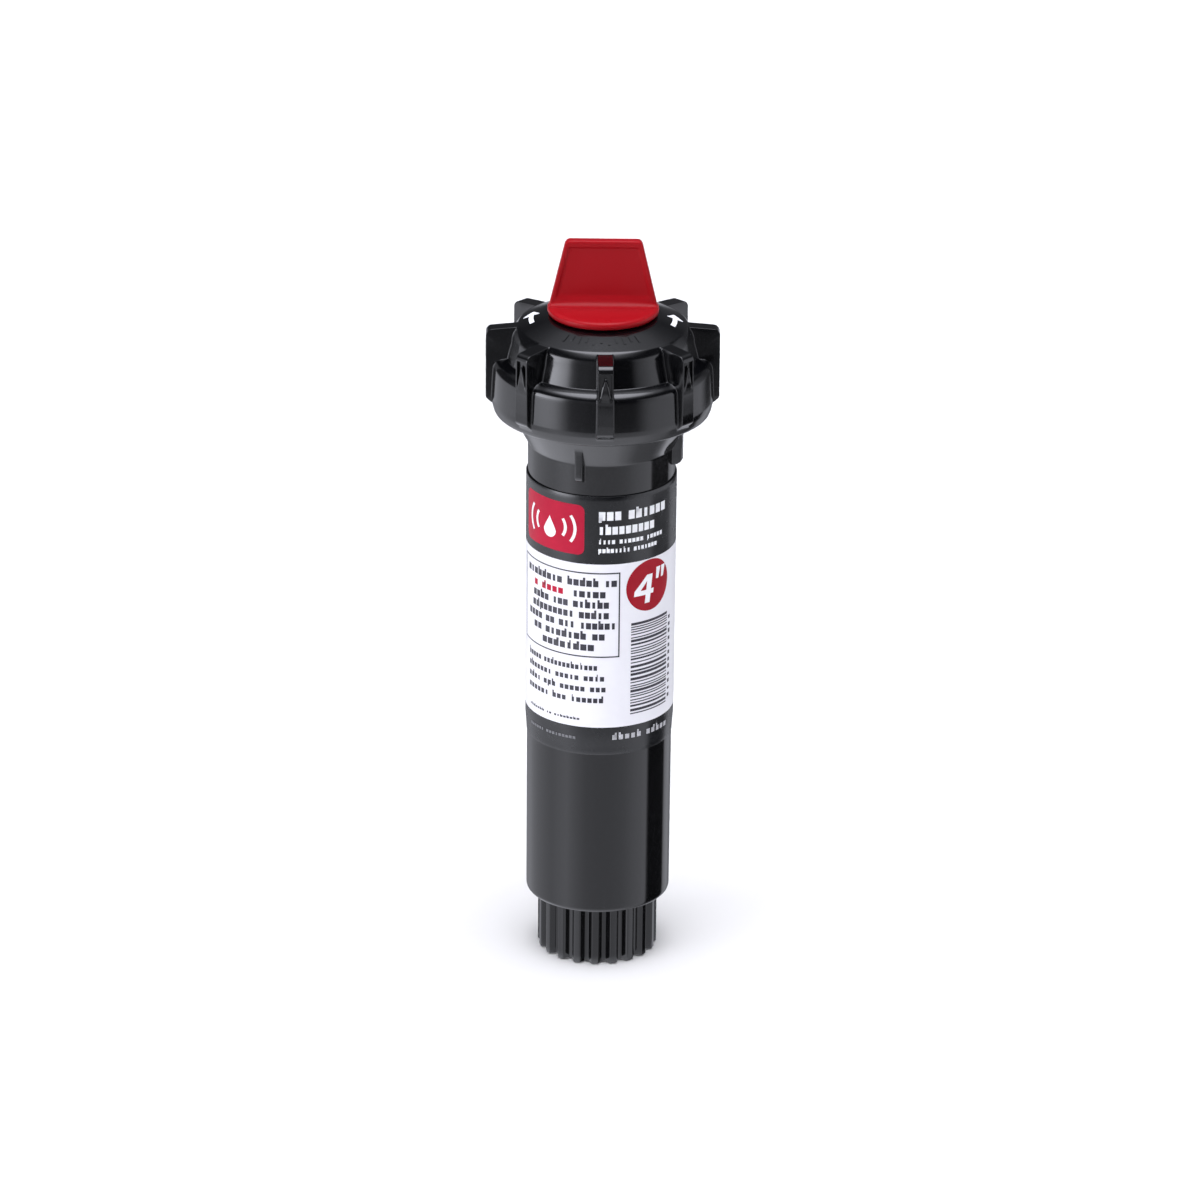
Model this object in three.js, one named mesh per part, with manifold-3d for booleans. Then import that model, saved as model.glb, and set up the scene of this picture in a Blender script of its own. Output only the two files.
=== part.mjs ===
// Pop-up lawn sprinkler, spray-head pattern, closed (riser down) with its flush plug fitted.
// Millimetres, +Z up, origin at the centre of the inlet's end face; the sprinkler stands on that face.
// Angles (az) run anticlockwise seen from above, from the front, which is -Y.
import * as THREE from "three";
import { mergeVertices } from "three/addons/utils/BufferGeometryUtils.js";
import Module from "manifold-3d";

const wasm = await Module();
wasm.setup();
const { Manifold, Mesh: WMesh } = wasm;

// ---------- driving dimensions ----------
const SEG = 40; // sides of the case, its label and the cap
const SEG_IN = 28; // sides of the pieces inside
const SEG_S = 16; // sides of the smallest pieces

// case
const INLET_H = 14.9; // length of the ribbed inlet
const INLET_R_TIP = 14.5;
const INLET_R_ROOT = 13.0;
const INLET_RIBS = 20;
const INLET_AZ = -1.8; // the rib nearest the front
const SOCKET_R = 10.75; // root of the half-inch pipe thread in the inlet
const SOCKET_CREST_R = 9.85;
const SOCKET_PITCH = 25.4 / 14;
const BARREL_R0 = 17.4; // foot of the barrel
const BARREL_R1 = 17.6; // neck of the barrel: the mould's draft
const BORE_R = 15.4;
const FLOOR_TOP = 17.3;
const NECK_Z = 131.5; // the flare starts here
const FLARE_Z = 140.2; // the flare ends here, at the root of the thread
const MOUTH_Z = 148.4;
const THREAD_ROOT = 22.2; // case thread
const THREAD_CREST = 23.15;
const MOUTH_R = 19.6; // bore inside the threaded mouth
const SPLINES = 6; // guide ribs in the bore
const SPLINE_R = 14.75;
const SPLINE_TOP = 127.6;
const GUSSETS = [-16, 74, 164]; // ribs on the neck
const GUSSET_R = 19.9;
const GUSSET_Z = 127.5; // their feet

// cap
const CAP_PITCH = 3.0;
const CAP_Z0 = 139.5; // lower edge of the skirt
const SKIRT_R = 26.0; // at the ledge; the skirt widens downwards by its draft
const SKIRT_R0 = 26.45;
const CAP_THREAD_ROOT = 23.65;
const CAP_THREAD_CREST = 22.7;
const LEDGE_Z = 152.35;
const LEDGE_ROUND = 2.6; // the ledge rounds over to the skirt
const CROWN_R0 = 22.9; // crown where it meets the ledge
const CROWN_R1 = 21.1; // crown at its shoulder
const SHOULDER_Z = 159.1;
const CAP_TOP_Z = 163.1;
const CAP_HOLE_R = 10.9;
const LUGS = 8;
const LUG_R = 27.7;
const LUG_Z0 = 141.5;
const LUG_W = 3.7;
const HOOD_Z = 159.8; // outer end of a lug's top
const LUG_AZ = 1.6;

// riser and what rides with it
const RISER_R = 9.6;
const RISER_BORE = 7.9;
const RISER_TOP = 162.7;
const RISER_FOOT = 20.2;
const FLANGE_R = 14.3;
const FLANGE_Z0 = 17.6;
const FLANGE_Z1 = 19.9;
const SLEEVE_TOP = 36.0; // valve sleeve of the riser's base
const PLUG_PITCH = 2.0;
const RISER_THREAD_ROOT = 8.55;
const RISER_THREAD_CREST = 7.95;
const RING_Z0 = 21.4; // ratchet ring
const RING_Z1 = 24.2;
const TEETH = 12;

// springs
const SPRING_R = 12.3;
const SPRING_WIRE = 0.75; // radius of the wire
const SPRING_Z0 = 24.5;
const SPRING_Z1 = 149.2;
const SPRING_TURNS = 16;

// flush plug
const DISC_R = 13.2;
const DISC_Z = 163.5;
const PLUG_TOP = 181.7;
const BLADE_T = 2.8;
const BLADE_HALF_BASE = 12.5;
const BLADE_HALF_TOP = 8.8;

// label
const LABEL_Z0 = 57.0;
const LABEL_Z1 = 123.8;
const LABEL_GAP = 0.15;
const LABEL_T = 0.25;

// ---------- helpers ----------
const TAU = Math.PI * 2;
const rad = (d) => (d * Math.PI) / 180;

// A geometry with only positions, shared vertices merged and empty triangles dropped, as a solid.
function solid(geometry) {
  const g = geometry.clone();
  for (const k of Object.keys(g.attributes)) if (k !== "position") g.deleteAttribute(k);
  g.clearGroups();
  const m = mergeVertices(g, 1e-4);
  const src = m.index.array;
  const tri = [];
  for (let i = 0; i < src.length; i += 3) {
    const [a, b, c] = [src[i], src[i + 1], src[i + 2]];
    if (a !== b && b !== c && a !== c) tri.push(a, b, c);
  }
  const make = (t) =>
    new Manifold(new WMesh({ numProp: 3, vertProperties: new Float32Array(m.attributes.position.array), triVerts: new Uint32Array(t) }));
  const s = make(tri);
  if (s.volume() > 0) return s;
  for (let i = 0; i < tri.length; i += 3) [tri[i + 1], tri[i + 2]] = [tri[i + 2], tri[i + 1]];
  return make(tri);
}

// A closed (r, z) profile turned about Z.
function turned(profile, segments = SEG) {
  const pts = profile.map(([r, z]) => new THREE.Vector2(r, z));
  if (profile[0][0] > 0) pts.push(pts[0].clone());
  return solid(new THREE.LatheGeometry(pts, segments).rotateX(Math.PI / 2));
}

function polygon(points) {
  return new THREE.Shape(points.map(([x, y]) => new THREE.Vector2(x, y)));
}

// A polygon in XY raised from z0 to z1.
function raised(points, z0, z1) {
  const g = new THREE.ExtrudeGeometry(polygon(points), { depth: z1 - z0, bevelEnabled: false });
  return solid(g.translate(0, 0, z0));
}

function block(x0, x1, y0, y1, z0, z1) {
  return solid(new THREE.BoxGeometry(x1 - x0, y1 - y0, z1 - z0).translate((x0 + x1) / 2, (y0 + y1) / 2, (z0 + z1) / 2));
}

// A solid drawn with +X outwards along the radius, moved to az.
const atAz = (s, az) => s.rotate([0, 0, az - 90]);

// A radial plate: outline in (r, z), width across, r along +X.
function radialPlate(outline, width) {
  const g = new THREE.ExtrudeGeometry(polygon(outline), { depth: width, bevelEnabled: false });
  return solid(g.rotateX(Math.PI / 2).translate(0, width / 2, 0));
}

// A thread's ridge: a section in (r, dz) carried round the axis, its ends run out into the wall at rWall.
function ridge({ section, rWall, z, az, turns, pitch, perTurn, runout = 0.12 }) {
  const steps = Math.round(turns * perTurn);
  const g = new THREE.ExtrudeGeometry(polygon(section), { depth: 1, steps, bevelEnabled: false });
  const p = g.attributes.position;
  for (let i = 0; i < p.count; i++) {
    const t = p.getZ(i);
    const end = Math.min(t * turns, (1 - t) * turns) / runout;
    const share = Math.min(1, 0.3 + 0.7 * end);
    const r = rWall + (p.getX(i) - rWall) * share;
    const a = rad(az) + t * turns * TAU;
    p.setXYZ(i, r * Math.sin(a), -r * Math.cos(a), z + p.getY(i) + t * turns * pitch);
  }
  return solid(g);
}

const trapezoid = (r0, h0, r1, h1) => [[r0, -h0], [r1, -h1], [r1, h1], [r0, h0]];

class Coil extends THREE.Curve {
  constructor(r, z0, z1, turns, dead, deadPitch) {
    super();
    Object.assign(this, { r, z0, z1, turns, dead, deadPitch });
  }
  getPoint(t, out = new THREE.Vector3()) {
    const n = t * this.turns;
    const { dead, deadPitch, turns } = this;
    const span = this.z1 - this.z0 - 2 * dead * deadPitch;
    const live = turns - 2 * dead;
    let h;
    if (n < dead) h = n * deadPitch;
    else if (n > turns - dead) h = this.z1 - this.z0 - (turns - n) * deadPitch;
    else h = dead * deadPitch + ((n - dead) / live) * span;
    const a = n * TAU;
    return out.set(this.r * Math.sin(a), -this.r * Math.cos(a), this.z0 + h);
  }
}

// A round wire along a coil, its lowest and highest points at z0 and z1.
function spring(r, wire, z0, z1, turns, dead, perTurn, sides) {
  const circle = new THREE.Shape();
  for (let i = 0; i <= sides; i++) {
    const a = (i / sides) * TAU;
    i ? circle.lineTo(wire * Math.cos(a), wire * Math.sin(a)) : circle.moveTo(wire, 0);
  }
  const path = new Coil(r, z0 + wire, z1 - wire, turns, dead, wire * 2.6);
  path.arcLengthDivisions = 2000;
  return solid(new THREE.ExtrudeGeometry(circle, { steps: Math.round(turns * perTurn), extrudePath: path, bevelEnabled: false }));
}

// ---------- case ----------
function caseBody() {
  const outer = [
    [0, INLET_H],
    [16.8, INLET_H],
    [17.2, INLET_H + 0.15],
    [BARREL_R0, INLET_H + 0.6],
    [BARREL_R1, NECK_Z - 0.3],
    [BARREL_R1 + 0.15, NECK_Z + 0.1],
    [THREAD_ROOT, FLARE_Z],
    [THREAD_ROOT, MOUTH_Z - 0.4],
    [THREAD_ROOT - 0.4, MOUTH_Z],
    [0, MOUTH_Z],
  ];
  let body = turned(outer);
  // the inlet: flat-topped ribs with sloping flanks
  const star = [];
  for (let i = 0; i < INLET_RIBS; i++) {
    const a = rad(-90 + INLET_AZ + (i * 360) / INLET_RIBS);
    for (const [r, w] of [[INLET_R_ROOT, -1.6], [INLET_R_TIP, -0.85], [INLET_R_TIP, 0.85], [INLET_R_ROOT, 1.6]])
      star.push([r * Math.cos(a) - w * Math.sin(a), r * Math.sin(a) + w * Math.cos(a)]);
  }
  body = body.add(raised(star, 0, INLET_H + 0.3));
  // ribs on the neck, running up under the flare
  for (const az of GUSSETS) {
    const g = radialPlate([
      [17.0, GUSSET_Z], [GUSSET_R - 0.9, GUSSET_Z], [GUSSET_R - 0.2, GUSSET_Z + 0.6], [GUSSET_R, GUSSET_Z + 1.6], [GUSSET_R, 136.3], [17.0, 136.3],
    ], 1.8);
    body = body.add(atAz(g, az));
  }
  body = body.add(ridge({
    section: trapezoid(THREAD_ROOT - 0.35, 0.85, THREAD_CREST, 0.4),
    rWall: THREAD_ROOT - 0.05, z: 140.9, az: 0, turns: 1.75, pitch: CAP_PITCH, perTurn: 24,
  }));
  // the bore, the hole in its floor and the inlet socket
  const inner = turned([
    [0, -1],
    [SOCKET_R + 0.5, -1],
    [SOCKET_R + 0.5, 0],
    [SOCKET_R, 0.8],
    [SOCKET_R - 0.3, 13.4],
    [9.2, 14.2],
    [9.2, FLOOR_TOP],
    [BORE_R, FLOOR_TOP],
    [BORE_R, 130.0],
    [MOUTH_R, 139.0],
    [MOUTH_R, MOUTH_Z + 1],
    [0, MOUTH_Z + 1],
  ]);
  body = body.subtract(inner);
  // guide ribs in the bore
  for (let i = 0; i < SPLINES; i++) {
    body = body.add(atAz(block(SPLINE_R, BORE_R + 0.7, -0.8, 0.8, FLOOR_TOP - 0.4, SPLINE_TOP), 30 + i * 60));
  }
  // pipe thread in the inlet
  body = body.add(ridge({
    section: trapezoid(SOCKET_R + 0.3, 0.66, SOCKET_CREST_R, 0.17),
    rWall: SOCKET_R + 0.1, z: 2.2, az: 0, turns: 5, pitch: SOCKET_PITCH, perTurn: 16,
  }));
  return body;
}

// ---------- cap ----------
// A lug: a plate that runs in to the crown, its foot chamfered; two slots that meet in a point mark off the pad on its face.
function lug() {
  const plate = radialPlate([
    [20.0, LUG_Z0], [LUG_R - 1.0, LUG_Z0 + 0.2], [LUG_R, LUG_Z0 + 1.5], [LUG_R, HOOD_Z - 1.25], [LUG_R - 1.2, HOOD_Z], [20.6, HOOD_Z + 0.55], [19.4, HOOD_Z + 0.5],
  ], LUG_W);
  const slot = (s) =>
    solid(new THREE.ExtrudeGeometry(polygon([[-0.01 * s, 157.5], [-0.01 * s, 158.05], [1.15 * s, 158.05], [1.4 * s, 157.6], [1.45 * s, 151.2], [1.25 * s, 152.8], [0.75 * s, 155.6]]), { depth: 3, bevelEnabled: false })
      .rotateX(Math.PI / 2).rotateZ(Math.PI / 2).translate(LUG_R - 0.55, 0, 0));
  return plate.subtract(slot(1)).subtract(slot(-1));
}

function screwCap() {
  const outer = [
    [0, CAP_Z0],
    [SKIRT_R0 - 0.9, CAP_Z0],
    [SKIRT_R0 - 0.25, CAP_Z0 + 1.5],
    [SKIRT_R0 - 0.05, CAP_Z0 + 3.3],
    [SKIRT_R, LEDGE_Z - LEDGE_ROUND],
    ...[70, 45, 20].map((a) => [SKIRT_R - LEDGE_ROUND * (1 - Math.sin(rad(a))), LEDGE_Z - LEDGE_ROUND * (1 - Math.cos(rad(a)))]),
    [CROWN_R0 + 0.1, LEDGE_Z + 0.05],
    [CROWN_R0 - 0.3, LEDGE_Z + 0.5],
    [CROWN_R1, SHOULDER_Z],
    [CROWN_R1 - 0.4, SHOULDER_Z + 1.0],
    [CROWN_R1 - 1.3, SHOULDER_Z + 1.7],
    [17.6, 161.62],
    [14.5, CAP_TOP_Z - 0.2],
    [CAP_HOLE_R + 0.9, CAP_TOP_Z],
    [0, CAP_TOP_Z],
  ];
  let cap = turned(outer);
  for (let i = 0; i < LUGS; i++) cap = cap.add(atAz(lug(), LUG_AZ + (i * 360) / LUGS));
  const inner = turned([
    [0, CAP_Z0 - 1],
    [CAP_THREAD_ROOT + 0.4, CAP_Z0 - 1],
    [CAP_THREAD_ROOT + 0.4, CAP_Z0 + 0.1],
    [CAP_THREAD_ROOT, CAP_Z0 + 0.6],
    [CAP_THREAD_ROOT, 150.2],
    [18.6, 150.2],
    [18.6, 158.0],
    [12.4, 160.9],
    [CAP_HOLE_R, 161.2],
    [CAP_HOLE_R, 162.8],
    [CAP_HOLE_R + 0.4, CAP_TOP_Z + 1],
    [0, CAP_TOP_Z + 1],
  ]);
  cap = cap.subtract(inner);
  return cap.add(ridge({
    section: trapezoid(CAP_THREAD_ROOT + 0.5, 0.9, CAP_THREAD_CREST, 0.4),
    rWall: CAP_THREAD_ROOT + 0.05, z: 142.4, az: 0, turns: 1.75, pitch: CAP_PITCH, perTurn: 24,
  }));
}

// ---------- seal stack, held between the cap and the case's mouth ----------
const capGasket = () => turned([[20.0, 148.7], [22.0, 148.7], [22.0, 149.9], [20.0, 149.9]], SEG_IN);
const wiperSeal = () => turned([
  [17.5, 151.0], [18.3, 151.0], [18.3, 157.1], [17.9, 157.8], [12.0, 160.5], [10.5, 160.8], [10.5, 162.4], [10.0, 162.6],
  [10.2, 159.8], [9.95, 159.2], [9.95, 158.5], [16.4, 156.4], [17.5, 155.4],
], SEG_IN);
const sealRetainer = () => turned([
  [10.0, 153.2], [10.9, 151.5], [13.9, 151.5], [13.9, 149.3], [14.6, 148.0], [19.4, 148.0], [19.4, 149.9], [18.2, 149.9],
  [17.2, 150.7], [17.2, 155.0], [16.2, 156.1], [10.2, 157.9], [10.0, 157.7],
], SEG_IN);
const springWasher = () => turned([[10.6, 149.5], [13.5, 149.5], [13.5, 150.6], [10.6, 150.6]], SEG_IN);

// ---------- riser ----------
function riserTube() {
  const r = turned([
    [RISER_BORE, RISER_FOOT], [RISER_R - 0.3, RISER_FOOT], [RISER_R, RISER_FOOT + 0.3],
    [RISER_R, RISER_TOP - 0.4], [RISER_R - 0.3, RISER_TOP], [RISER_THREAD_ROOT + 0.2, RISER_TOP], [RISER_THREAD_ROOT, RISER_TOP - 0.4],
    [RISER_THREAD_ROOT, 150.8], [RISER_BORE, 150.0],
  ], SEG_IN);
  return r.add(ridge({
    section: trapezoid(RISER_THREAD_ROOT + 0.3, 0.52, RISER_THREAD_CREST, 0.2),
    rWall: RISER_THREAD_ROOT + 0.05, z: 152.2, az: 180, turns: 3.5, pitch: PLUG_PITCH, perTurn: 16,
  }));
}

function riserBase() {
  let r = turned([
    [6.9, FLANGE_Z0], [FLANGE_R - 0.5, FLANGE_Z0], [FLANGE_R, FLANGE_Z0 + 0.5], [FLANGE_R, FLANGE_Z1], [7.6, FLANGE_Z1],
    [7.6, SLEEVE_TOP - 0.3], [7.3, SLEEVE_TOP], [6.9, SLEEVE_TOP],
  ], SEG_IN);
  for (let i = 0; i < TEETH; i++) r = r.add(atAz(block(10.5, 13.9, -0.9, 0.9, FLANGE_Z1 - 0.3, FLANGE_Z1 + 0.6), (i * 360) / TEETH));
  return r;
}

function ratchetRing() {
  let r = turned([[9.95, RING_Z0], [15.1, RING_Z0], [15.1, RING_Z1 - 0.3], [14.8, RING_Z1], [9.95, RING_Z1]], SEG_IN);
  for (let i = 0; i < SPLINES; i++) r = r.subtract(atAz(block(14.35, 16, -1.2, 1.2, RING_Z0 - 1, RING_Z1 + 1), 30 + i * 60));
  for (let i = 0; i < TEETH; i++) r = r.add(atAz(block(10.5, 13.9, -0.9, 0.9, RING_Z0 - 0.6, RING_Z0 + 0.3), (i * 360) / TEETH));
  return r;
}

// ---------- shut-off valve in the riser's base ----------
function spider({ rim, hub, bore, arms }) {
  let s = turned(rim, SEG_S).add(turned([[0, hub.z0], [hub.r, hub.z0], [hub.r, hub.z1], [0, hub.z1]], SEG_S));
  for (let i = 0; i < 3; i++) s = s.add(atAz(block(hub.r - 0.4, arms.r, -0.7, 0.7, arms.z0, arms.z1), 60 + i * 120));
  return s.subtract(turned([[0, hub.z0 - 1], [bore, hub.z0 - 1], [bore, hub.z1 + 1], [0, hub.z1 + 1]], SEG_S));
}
const shutoffCage = () => spider({
  rim: [[5.6, 18.0], [6.6, 18.0], [6.6, 22.4], [5.6, 22.4]],
  hub: { r: 2.0, z0: 18.0, z1: 22.9 }, bore: 1.15, arms: { r: 6.1, z0: 18.0, z1: 20.0 },
});
const shutoffSeat = () => spider({
  rim: [[3.9, 31.0], [6.6, 31.0], [6.6, 35.4], [3.4, 35.4], [3.4, 31.5]],
  hub: { r: 1.9, z0: 32.7, z1: 35.4 }, bore: 1.15, arms: { r: 4.6, z0: 33.2, z1: 35.4 },
});
const shutoffPoppet = () => turned([
  [0, 18.2], [0.8, 18.2], [0.8, 23.2], [3.9, 23.3], [4.4, 23.8], [4.4, 24.4], [4.2, 24.6], [1.6, 24.6], [1.6, 25.6], [0.8, 26.1], [0.8, 30.4], [0, 30.4],
], SEG_S);
const poppetSeal = () => {
  const n = 8, R = 3.75, r = 0.6, z = 25.5;
  return turned(Array.from({ length: n }, (_, i) => [R + r * Math.cos((i / n) * TAU), z + r * Math.sin((i / n) * TAU)]), SEG_S);
};

// ---------- flush plug ----------
function flushPlug() {
  let p = turned([
    [0, 162.0], [5.8, 162.0], [5.8, 152.0], [6.8, 152.0], [7.3, 152.6], [7.3, DISC_Z + 0.1], [DISC_R - 0.5, DISC_Z + 0.1], [DISC_R, DISC_Z + 0.5],
    [DISC_R, DISC_Z + 1.2], [DISC_R - 0.35, DISC_Z + 1.6], [11.6, DISC_Z + 1.9], [6, DISC_Z + 2.3], [0, DISC_Z + 2.4],
  ], SEG_IN);
  const zb = 164.9, zt = PLUG_TOP, h = BLADE_HALF_BASE, k = BLADE_HALF_TOP;
  const plate = (points, t, y) =>
    solid(new THREE.ExtrudeGeometry(polygon(points), { depth: t, bevelEnabled: false }).rotateX(Math.PI / 2).translate(0, y + t, 0));
  const blade = plate([[-h, zb], [h, zb], [k + 0.25, zt - 0.9], [k - 0.6, zt], [-k + 0.6, zt], [-k - 0.25, zt - 0.9]], BLADE_T, -BLADE_T / 2);
  const e = 1.3; // rim round the thinner web
  const pocket = (y) => plate([[-h + e + 0.4, zb + 1.9], [h - e - 0.4, zb + 1.9], [k - e + 0.35, zt - e], [-k + e - 0.35, zt - e]], 2, y);
  p = p.add(blade.subtract(pocket(-BLADE_T / 2 - 1.4)).subtract(pocket(BLADE_T / 2 - 0.6)));
  return p.add(ridge({
    section: trapezoid(6.95, 0.52, 8.15, 0.2),
    rWall: 7.25, z: 153.2, az: 180, turns: 3.5, pitch: PLUG_PITCH, perTurn: 16,
  }));
}
const plugGasket = () => turned([[7.6, 162.9], [10.2, 162.9], [10.2, 163.5], [7.6, 163.5]], SEG_IN);

// ---------- label ----------
const barrelAt = (z) => BARREL_R0 + ((BARREL_R1 - BARREL_R0) * (z - INLET_H - 0.6)) / (NECK_Z - 0.6 - INLET_H - 0.6);
function bodyLabel() {
  const a = barrelAt(LABEL_Z0) + LABEL_GAP, b = barrelAt(LABEL_Z1) + LABEL_GAP;
  return turned([[a, LABEL_Z0], [a + LABEL_T, LABEL_Z0], [b + LABEL_T, LABEL_Z1], [b, LABEL_Z1]]);
}

// ---------- scene graph ----------
const root = new THREE.Group();
root.name = "popup_sprinkler";
const group = (name, parent = root) => {
  const g = new THREE.Group();
  g.name = name;
  parent.add(g);
  return g;
};
const black = { color: 0x1b1c1f, roughness: 0.38, metalness: 0 };
const rubber = { color: 0x141414, roughness: 0.8, metalness: 0 };
const steel = { color: 0xb8bcc0, roughness: 0.25, metalness: 1 };
const grey = { color: 0x5c6066, roughness: 0.5, metalness: 0 };
const red = { color: 0xa31219, roughness: 0.4, metalness: 0 };
function node(name, s, look, parent) {
  const m = s.simplify(0.02).getMesh();
  const n = m.numProp;
  const v = new Float32Array(m.numVert * 3);
  for (let i = 0; i < m.numVert; i++) for (let k = 0; k < 3; k++) v[3 * i + k] = m.vertProperties[n * i + k];
  const g = new THREE.BufferGeometry();
  g.setAttribute("position", new THREE.BufferAttribute(v, 3));
  g.setIndex(new THREE.BufferAttribute(new Uint32Array(m.triVerts), 1));
  g.computeVertexNormals();
  const mesh = new THREE.Mesh(g, new THREE.MeshStandardMaterial(look));
  mesh.name = name;
  parent.add(mesh);
  return mesh;
}

const caseGroup = group("case_group");
node("case_body", caseBody(), black, caseGroup);
node("body_label", bodyLabel(), { color: 0xf0f0f2, roughness: 0.5, metalness: 0 }, caseGroup);

const sealGroup = group("seal_group");
node("cap_gasket", capGasket(), rubber, sealGroup);
node("wiper_seal", wiperSeal(), rubber, sealGroup);
node("seal_retainer", sealRetainer(), grey, sealGroup);
node("spring_washer", springWasher(), grey, sealGroup);
node("retract_spring", spring(SPRING_R, SPRING_WIRE, SPRING_Z0, SPRING_Z1, SPRING_TURNS, 1, 12, 6), steel, sealGroup);

const capGroup = group("cap_group");
node("screw_cap", screwCap(), black, capGroup);

const slideGroup = group("slide_group");
node("ratchet_ring", ratchetRing(), grey, slideGroup);

const riserGroup = group("riser_group", slideGroup);
node("riser_tube", riserTube(), black, riserGroup);
node("riser_base", riserBase(), grey, riserGroup);
node("shutoff_cage", shutoffCage(), grey, riserGroup);
node("shutoff_seat", shutoffSeat(), grey, riserGroup);
node("shutoff_spring", spring(2.2, 0.25, 25.9, 32.4, 4.5, 0.6, 10, 5), steel, riserGroup);

const poppetGroup = group("poppet_group", riserGroup);
node("shutoff_poppet", shutoffPoppet(), { color: 0xd9d6cc, roughness: 0.45, metalness: 0 }, poppetGroup);
node("poppet_seal", poppetSeal(), rubber, poppetGroup);

const plugGroup = group("plug_group", riserGroup);
node("plug_gasket", plugGasket(), rubber, plugGroup);
node("flush_plug", flushPlug(), red, plugGroup);

export default root;
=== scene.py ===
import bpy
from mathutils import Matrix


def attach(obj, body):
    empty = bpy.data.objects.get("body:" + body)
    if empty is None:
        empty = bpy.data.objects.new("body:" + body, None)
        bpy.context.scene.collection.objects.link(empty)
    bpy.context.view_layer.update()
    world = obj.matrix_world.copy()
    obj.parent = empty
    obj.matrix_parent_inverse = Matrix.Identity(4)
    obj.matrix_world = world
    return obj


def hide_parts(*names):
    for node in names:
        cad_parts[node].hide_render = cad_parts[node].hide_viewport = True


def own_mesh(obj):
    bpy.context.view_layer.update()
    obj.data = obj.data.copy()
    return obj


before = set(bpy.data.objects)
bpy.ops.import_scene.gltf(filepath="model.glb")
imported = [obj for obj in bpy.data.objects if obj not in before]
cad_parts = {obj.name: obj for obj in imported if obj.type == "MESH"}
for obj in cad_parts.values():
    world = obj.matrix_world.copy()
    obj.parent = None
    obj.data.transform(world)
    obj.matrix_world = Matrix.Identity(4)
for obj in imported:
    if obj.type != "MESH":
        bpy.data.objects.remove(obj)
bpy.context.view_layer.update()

import math
import random

import bmesh
import bpy
from mathutils import Vector, Matrix

# Lengths below are in millimetres and azimuths in degrees, anticlockwise seen from above, from the front (-Y).
MM = 0.001
TAU = math.tau


# ------------------------------------------------------------------ meshes
def rounded(points, n=4):
    """A closed (r, z) loop whose corners (r, z, radius) are rounded with n steps each."""
    out = []
    k = len(points)
    for i, p in enumerate(points):
        r = p[2] if len(p) > 2 else 0.0
        a, b, c = Vector(points[i - 1][:2]), Vector(p[:2]), Vector(points[(i + 1) % k][:2])
        u, v = a - b, c - b
        if r <= 0 or u.length < 1e-9 or v.length < 1e-9:
            out.append((b.x, b.y))
            continue
        lu, lv = u.length, v.length
        u.normalize(), v.normalize()
        half = math.acos(max(-1, min(1, u.dot(v)))) / 2
        if half > math.radians(88):
            out.append((b.x, b.y))
            continue
        t = min(r / math.tan(half), 0.48 * lu, 0.48 * lv)
        r = t * math.tan(half)
        m = (u + v).normalized()
        o = b + m * (r / math.sin(half))
        p0, p1 = b + u * t - o, b + v * t - o
        whole = p0.angle_signed(p1)
        for s in range(n + 1):
            q = p0.copy()
            q.rotate(Matrix.Rotation(-whole * s / n, 2))
            out.append((o.x + q.x, o.y + q.y))
    return out


def piece(name, verts, faces, mat, body, sharp=40, weld=1e-4, replaces=()):
    me = bpy.data.meshes.new(name)
    me.from_pydata([(x * MM, y * MM, z * MM) for x, y, z in verts], [], faces)
    bm = bmesh.new()
    bm.from_mesh(me)
    bmesh.ops.remove_doubles(bm, verts=bm.verts, dist=weld * MM)
    bmesh.ops.dissolve_degenerate(bm, edges=bm.edges, dist=weld * 0.5 * MM)
    bmesh.ops.recalc_face_normals(bm, faces=bm.faces)
    bm.to_mesh(me)
    bm.free()
    me.shade_smooth()
    me.set_sharp_from_angle(angle=math.radians(sharp))
    me.materials.append(mat)
    ob = bpy.data.objects.new(name, me)
    bpy.context.scene.collection.objects.link(ob)
    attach(ob, body)
    if replaces:
        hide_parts(*replaces)
    return ob


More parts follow.
